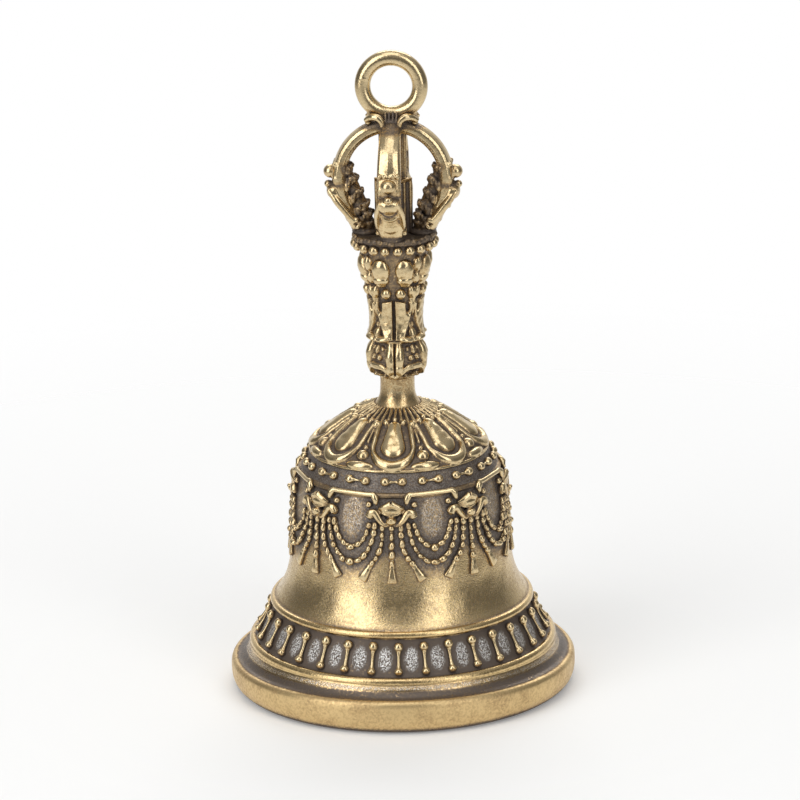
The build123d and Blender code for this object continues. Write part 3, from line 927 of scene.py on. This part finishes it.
def prong_head_clay():
    """Beast's head that swallows the prong, modelled at +X: out, across, up."""
    clay = Clay()
    clay.add(*prong_rod())
    for across in (-0.63, -0.22, 0.22, 0.63):
        clay.add_balls(((0.18, 0.2, 0.18), (4.2, across, 39.66), 12, 8))
    clay.add_balls(((0.52, 0.56, 0.5), (4.56, 0, 39.0), 20, 14),  # jewel, forehead and nose
                   ((0.5, 0.82, 0.85), (3.98, 0, 38.6), 20, 14),
                   ((0.32, 0.33, 0.28), (4.72, 0, 38.05), 16, 10))
    face = smooth_curve([(4.28, 0, 37.75), (3.86, 0, 36.95), (3.44, 0, 36.2), (3.02, 0, 35.45),
                         (2.72, 0, 34.8)], 0.12)
    clay.add(*tube(face, taper(face, [0, 0.3, 0.7, 1], [0.84, 0.92, 0.94, 0.86]), 20, 0.44))
    clay.add_balls(((0.62, 0.86, 0.66), (4.26, 0, 37.56), 24, 16),  # muzzle and chin
                   ((0.28, 0.76, 0.84), (3.34, 0, 36.04), 24, 16))
    lip = smooth_curve([(3.92, -0.62, 36.74), (4.02, -0.3, 36.46), (4.04, 0, 36.38), (4.02, 0.3, 36.46),
                        (3.92, 0.62, 36.74)], 0.08)
    clay.add(*tube(lip, 0.15, 10))
    for side in (-1, 1):
        clay.add_balls(((0.34, 0.2, 0.56), (4.02, side * 0.64, 38.52), 14, 10))
        cheek = smooth_curve([(out, side * across, up) for out, across, up in (
            (4.66, 0.54, 37.78), (4.12, 0.78, 37.02), (3.54, 0.86, 36.3), (3.06, 0.88, 35.72),
            (2.74, 0.86, 35.4))], 0.12)
        clay.add(*tube(cheek, taper(cheek, [0, 0.4, 1], [0.22, 0.3, 0.26]), 12))
        for out, across, up, size in ((2.62, 0.94, 35.56, 0.22), (2.4, 0.92, 35.28, 0.22),
                                      (2.56, 0.96, 35.02, 0.2), (2.2, 0.9, 35.1, 0.18)):
            clay.add_balls(((size, size, size), (out, side * across, up), 12, 8))
    clay.add(*tube([(3.4, 0, 39.2), (3.05, 0, 38.2), (2.7, 0, 37.2), (2.35, 0, 36.2), (2.1, 0, 35.2),
                    (2.05, 0, 34.4)], [0.34, 0.5, 0.58, 0.64, 0.7, 0.8], 14, 0.9))
    for out, up in ((3.24, 39.25), (2.9, 38.3), (2.52, 37.35), (2.14, 36.45), (1.88, 35.7), (1.82, 35.05)):
        for across in (-0.5, 0.02, 0.52):  # curls of the mane
            shift_out, shift_up = random.uniform(-0.12, 0.08), random.uniform(-0.12, 0.12)
            x, y, z = out + shift_out + 0.16 * abs(across), across, up + shift_up
            clay.add_balls(((0.36, 0.27, 0.36), (x, y, z), 12, 8),
                           ((0.16, 0.13, 0.2), (x - 0.28, y + shift_up, up + 0.18), 8, 6))
        for side in (-1, 1):
            clay.add_balls(((0.28, 0.2, 0.38), (out + 0.4, side * 0.64, up - 0.3), 10, 7),
                           ((0.14, 0.12, 0.2), (out + 0.24, side * 0.76, up + 0.05), 8, 6))
    clay.add_balls(((1.0, 1.0, 0.4), (2.1, 0, 34.5), 16, 8))
    return clay


def make_prongs():
    head = fused(prong_head_clay(), HANDLE_VOXEL, 1)
    out, across, up = head.points().T
    across = abs(across)
    mane = 1 - ramp(out - 2.6 - 0.3 * (up - 36.0), 0.0, 0.3)
    # Painted shade on the face: a dark line along the mouth, dark spots on the cheeks and a dark band under
    # the brow, where its hollows lie in shadow
    painted_mouth_shade = np.exp(-((up - 36.64 - 1.2 * across ** 2) / 0.12) ** 2) * (1 - ramp(across, 0.62, 0.78))
    painted_cheek_shade = np.exp(-((across - 0.68) / 0.16) ** 2 - ((up - 36.25) / 0.34) ** 2)
    brow = np.exp(-((up - 38.08) / 0.2) ** 2) * ramp(4.9 - out, 0.0, 0.3)
    recess = 0.65 * np.maximum(mane * (1 - ramp(up, 39.5, 40.0)), 1.6 * (1 - ramp(up, 34.7, 35.0)))
    # The face's painted shade is added here to the patina of the mane and of the foot
    recess += ramp(out, 3.3, 3.6) * (1.1 * painted_mouth_shade + 0.8 * painted_cheek_shade + 0.8 * brow) + 0.75 * ramp(up, 42.1, 42.4)
    for degrees, side in ((-90, "front"), (0, "right"), (90, "back"), (180, "left")):
        clay = Clay()
        clay.add(turn(head.points(), degrees), head.faces)
        piece(f"prong_{side}_cast", clay, "handle_brass", [f"prong_{side}"], recess=recess)


def make_shaft():
    """Four-sided ribbed shaft, thicker below its step."""
    clay = Clay()
    for bottom, top, half in ((TABLE_Z - 0.1, SHAFT_STEP_Z, SHAFT_LOW), (SHAFT_STEP_Z, 42.2, SHAFT_HIGH)):
        corners = np.array([(half, 0), (0, half), (-half, 0), (0, -half)])
        core = np.array([(x * 0.9, y * 0.9, z) for z in (bottom, top) for x, y in corners])
        clay.add(*cap_ends(core, grid_faces(2, 4), 2, 4))
        for start, end in zip(corners, np.roll(corners, -1, axis=0)):
            for along in (0.0, 0.34, 0.66):
                x, y = (start + (end - start) * along) * 0.94
                clay.add(*tube([(x, y, bottom), (x, y, top)], 0.17 if along == 0 else 0.13, 10))
            clay.add(*tube([(*start, top - 0.12), (*end, top - 0.12)], 0.13, 8))
    shaft = fused(clay, HANDLE_VOXEL, 0)
    x, y, z = shaft.points().T
    sunk = 1 - ramp((abs(x) + abs(y)) / np.where(z < SHAFT_STEP_Z, SHAFT_LOW, SHAFT_HIGH), 0.93, 1.03)
    piece("centre_shaft", shaft, "handle_brass", ["vajra_shaft"],
          recess=0.25 + 0.6 * sunk + 0.25 * (1 - ramp(z, 35.0, 37.5)))


def make_boss():
    """Crown where the prongs meet, with a ribbed tongue and two slanting leaves on each face."""
    clay = Clay()
    clay.add(*turned([(0.55, 41.75), (0.92, 41.95), (1.06, 42.3), (1.02, 42.9), (0.74, 43.1)], 28))
    for face in (-1, 1):
        for side in (-1, 1):
            leaf = smooth_curve([(side * x, face * y, z) for x, y, z in (
                (1.86, 0.52, 42.92), (1.46, 0.84, 43.22), (1.02, 1.06, 43.26), (0.68, 1.16, 43.0),
                (0.56, 1.16, 42.6))])
            clay.add(*tube(leaf, taper(leaf, [0, 0.4, 1], [0.2, 0.28, 0.2]), 10))
            clay.add_balls(((0.26, 0.24, 0.22), (side * 1.7, face * 0.44, 42.78), 10, 7))
        for x in (-0.4, -0.14, 0.14, 0.4):
            foot_z = 41.97 + 0.9 * abs(x)
            clay.add(*tube([(x, face * 0.96, foot_z), (x, face * 0.96, 42.8), (x, face * 0.66, 43.55)],
                           [0.11, 0.11, 0.09], 8))
        hem = smooth_curve([(-0.5, face * 1.04, 42.34), (0, face * 1.16, 42.14), (0.5, face * 1.04, 42.34)])
        clay.add(*tube(hem, 0.11, 8))
    boss = fused(clay, FINE_VOXEL, 0)
    x, _, z = boss.points().T
    piece("crown_cluster", boss, "handle_brass", ["crown_boss"],
          recess=1.1 * np.exp(-(x / 0.52) ** 4) * ramp(z, 42.05, 42.2))


def make_loop():
    mount = frame["record"]["mounts"][0]
    loop_z, hole_r, outer_r = mount["pos_m"][2] / M, mount["dims"]["r_mm"], 2.66
    ring_r, wire_r = (hole_r + outer_r) / 2, (outer_r - hole_r) / 2
    clay = Clay()
    clay.add(*hoop(ring_r, wire_r, loop_z, "x", 120, 24))
    for side in (-1, 1):
        clay.add(*tube([(side * 1.42, 0, 43.75), (side * 1.36, 0, 43.2), (side * 1.48, 0, 42.75)], 0.45, 14))
    clay.add(*tube(smooth_curve([(-1.52, 0, 42.86), (0, 0, 42.98), (1.52, 0, 42.86)], 0.15), 0.44, 16))
    seam = radians(162)
    clay.add_balls(((0.6, 0.62, 0.07), (ring_r * cos(seam), 0, loop_z + ring_r * sin(seam)), 20, 8))
    loop = fused(clay, HANDLE_VOXEL, 2)
    foot = 1 - ramp(loop.points()[:, 2], 42.9, 43.4)
    piece("top_loop", loop, "handle_brass", ["hanging_loop"], recess=0.5 * foot)


# ---- clapper and fastenings

def low_high(node):
    """Bottom and top of a CAD node, in millimetres."""
    return [corner[2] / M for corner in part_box(node)]


def make_bolt():
    """Shank with its thread where it shows under the nut, and the eye."""
    eye_r, wire_r = 1.05, 0.36
    shank_r, pitch, thread = 0.79, 0.25, 0.035
    start, top = LINK_PIVOT_Z + 2 * eye_r, low_high("eye_bolt")[1]
    clay = Clay()
    clay.add(*hoop(eye_r, wire_r, LINK_PIVOT_Z + eye_r, "x"))
    z = np.arange(start, top, pitch / 6)
    ridge = thread * np.cos(2 * pi * z / pitch)
    clay.add(*turned(np.stack([shank_r - thread + ridge, z], axis=-1), 32))
    clay.add_balls(((0.62, 0.5, 0.45), (0, 0, start - 0.1), 18, 10))
    piece("eye_bolt_turned", clay, "fastener_brass", ["eye_bolt"])


def make_nut():
    low, high = low_high("crown_nut")
    across_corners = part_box("crown_nut")[1][0] / M
    t = full_turn(48)
    hexagon = across_corners * cos(pi / 6) / np.cos((t + pi / 6) % (pi / 3) - pi / 6)
    section = ((0.86, low), (1.38, low), (1.62, low + 0.1), (9, low + 0.2),
               (9, high - 0.2), (1.62, high - 0.1), (1.38, high), (0.86, high))
    clay = Clay()
    clay.add_ring([polar(np.degrees(t) + 90, np.minimum(hexagon, limit), z) for limit, z in section])
    piece("crown_nut_hex", clay, "fastener_brass", ["crown_nut"])


def make_washer():
    low, high = low_high("crown_washer")
    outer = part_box("crown_washer")[1][0] / M
    section = ((0.88, low), (outer - 0.06, low), (outer, low + 0.06),
               (outer, high - 0.04), (outer - 0.04, high), (0.88, high))
    clay = Clay()
    clay.add_ring([polar(np.array(spaced(48)), r, z) for r, z in section])
    piece("crown_washer_disc", clay, "fastener_brass", ["crown_washer"])


def make_link():
    clay = Clay()
    clay.add(*hoop(1.5, 0.3, sum(low_high("clapper_link")) / 2, "y"))
    piece("clapper_link_ring", clay, "clapper_brass", ["clapper_link"], "link")


def make_clapper():
    hook_r, wire_r, rod_r = 0.9, 0.3, 0.45
    bottom, top = low_high("clapper_rod")
    ball_low, ball_high = low_high("clapper_ball")
    hook_z = top - hook_r - wire_r
    rod = Clay()
    rod.add(*hoop(hook_r, wire_r, hook_z, "x"))
    rod.add(*turned(smooth_curve([(0.02, bottom), (0.4, bottom + 0.02), (0.62, bottom + 0.12),
                                  (0.5, bottom + 0.26), (rod_r, bottom + 0.5), (rod_r, ball_high + 0.3),
                                  (0.42, 9.0), (0.44, hook_z - hook_r - 0.2), (0.34, hook_z - hook_r + 0.12)],
                                 0.2), 24))
    piece("clapper_rod_forged", rod, "clapper_brass", ["clapper_rod"], "clapper")
    centre = (ball_low + ball_high) / 2
    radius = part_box("clapper_ball")[1][0] / M
    bob = Clay()
    outline = [(radius * cos(a), centre + radius * sin(a)) for a in np.radians(np.linspace(-78, 84, 40))]
    bob.add(*turned([(0.46, outline[0][1] + 0.02)] + outline + [(0.4, outline[-1][1] + 0.05)], 56))
    piece("clapper_ball_turned", bob, "clapper_brass", ["clapper_ball"], "clapper")


# ---- stage, light and camera

def make_floor():
    """Pale ground that thins out to nothing away from the bell."""
    rings, columns, reach, below = 40, 96, 0.42, 0.00001
    outline = np.stack([np.linspace(0.0005, reach, rings), np.full(rings, -below)], axis=-1)
    verts, faces = turned(outline, columns)
    disc = Clay()
    disc.add(verts, faces[faces.max(axis=1) < len(verts) - 1])  # without the fan over its rim
    mesh = disc.mesh("floor")
    floor = bpy.data.objects.new("floor", mesh)
    bpy.context.collection.objects.link(floor)
    material = bpy.data.materials.new("pale floor")
    material.use_nodes = True
    tree = material.node_tree
    shader = tree.nodes["Principled BSDF"]
    shader.inputs["Base Color"].default_value = (0.9, 0.9, 0.89, 1)
    shader.inputs["Roughness"].default_value = 0.9
    shader.inputs["Specular IOR Level"].default_value = 0.1
    shader.inputs["Emission Color"].default_value = (1, 1, 1, 1)
    shader.inputs["Emission Strength"].default_value = 0.15
    away = node(tree, "VectorMath", {0: coordinates(tree, "Object")}, operation="LENGTH").outputs["Value"]
    clear = node(tree, "BsdfTransparent", {}).outputs["BSDF"]
    faded = mixed_shader(tree, spread(tree, away, 0.022, 0.1), shader.outputs["BSDF"], clear)
    feed(tree, tree.nodes["Material Output"].inputs["Surface"], faded)
    mesh.materials.append(material)


def make_world():
    """White to the eye, and to what the brass mirrors a dim room with a bright ceiling and far wall."""
    world = bpy.data.worlds.new("studio")
    bpy.context.scene.world = world
    world.use_nodes = True
    tree = world.node_tree
    back = tree.nodes["Background"]
    axes = node(tree, "SeparateXYZ", {0: coordinates(tree, "Generated")}).outputs
    greys = ((0.0, 0.85), (0.34, 0.7), (0.44, 0.17), (0.66, 0.15), (0.82, 0.3), (1.0, 0.45))
    stops = [(height, (grey, grey, grey)) for height, grey in greys]
    room = colour_ramp(tree, spread(tree, axes["Z"], -1, 1), stops)
    far_wall = spread(tree, axes["Y"], 0.5, 0.95)
    feed(tree, back.inputs["Color"], mixed(tree, far_wall, room, (0.85, 0.85, 0.85)))
    back.inputs["Strength"].default_value = 1.0
    white = node(tree, "Background", {"Color": (1, 1, 1, 1), "Strength": 1.0}).outputs["Background"]
    seen = node(tree, "LightPath", {}).outputs["Is Camera Ray"]
    feed(tree, tree.nodes["World Output"].inputs["Surface"],
         mixed_shader(tree, seen, back.outputs["Background"], white))


def looking(place, target):
    """Transform of a lamp or camera that stands at a place and faces a target."""
    return Matrix.Translation(place) @ (place - target).to_track_quat("Z", "Y").to_matrix().to_4x4()


def softbox(name, azimuth, elevation, distance, width, height, power, tint=(1, 1, 1)):
    """Rectangular lamp that faces the bell, its azimuth counted from the front towards +X."""
    light = bpy.data.lights.new(name, "AREA")
    light.shape = "RECTANGLE"
    light.size, light.size_y = width, height
    light.energy = power
    light.color = tint
    lamp = bpy.data.objects.new(name, light)
    middle = Vector((0, 0, 0.02))
    place = Vector(polar(azimuth, cos(radians(elevation)), sin(radians(elevation)))) * distance + middle
    lamp.matrix_world = looking(place, middle)
    bpy.context.collection.objects.link(lamp)


def make_lights():
    softbox("left softbox", -43, 26, 0.42, 0.25, 0.52, 0.88)
    softbox("right softbox", 42, 26, 0.42, 0.16, 0.5, 0.46)
    softbox("top softbox", -10, 80, 0.46, 0.3, 0.3, 0.34)
    softbox("back softbox", 180, 40, 0.5, 0.4, 0.2, 0.6)


def make_camera():
    """Camera above and a little right of the front, as far off as gives the photograph's perspective."""
    distance, elevation, yaw, roll = 0.45, 16.8, 4.8, -1.2
    data = bpy.data.cameras.new("camera")
    data.sensor_width = 36
    data.lens = 276.2
    data.clip_start = 0.01
    camera = bpy.data.objects.new("camera", data)
    middle = Vector((0, 0, CAD_BOUNDS[1][2] / 2))
    place = middle + Vector(polar(yaw, cos(radians(elevation)), sin(radians(elevation)))) * distance
    aim = middle + Vector((0.16 * M, 0, -2.41 * M))
    camera.matrix_world = looking(place, aim) @ Matrix.Rotation(radians(roll), 4, "Z")
    bpy.context.collection.objects.link(camera)
    bpy.context.scene.camera = camera


make_camera()
make_world()
make_lights()
make_floor()
make_cup()
make_balusters()
make_dumbbells()
make_dome()
make_masks()
make_strings()
make_tassels()
make_panel_bars()
make_stem()
make_handle_beads()
make_prongs()
make_shaft()
make_boss()
make_loop()
make_bolt()
make_nut()
make_washer()
make_link()
make_clapper()

bpy.context.scene.view_settings.view_transform = "Standard"
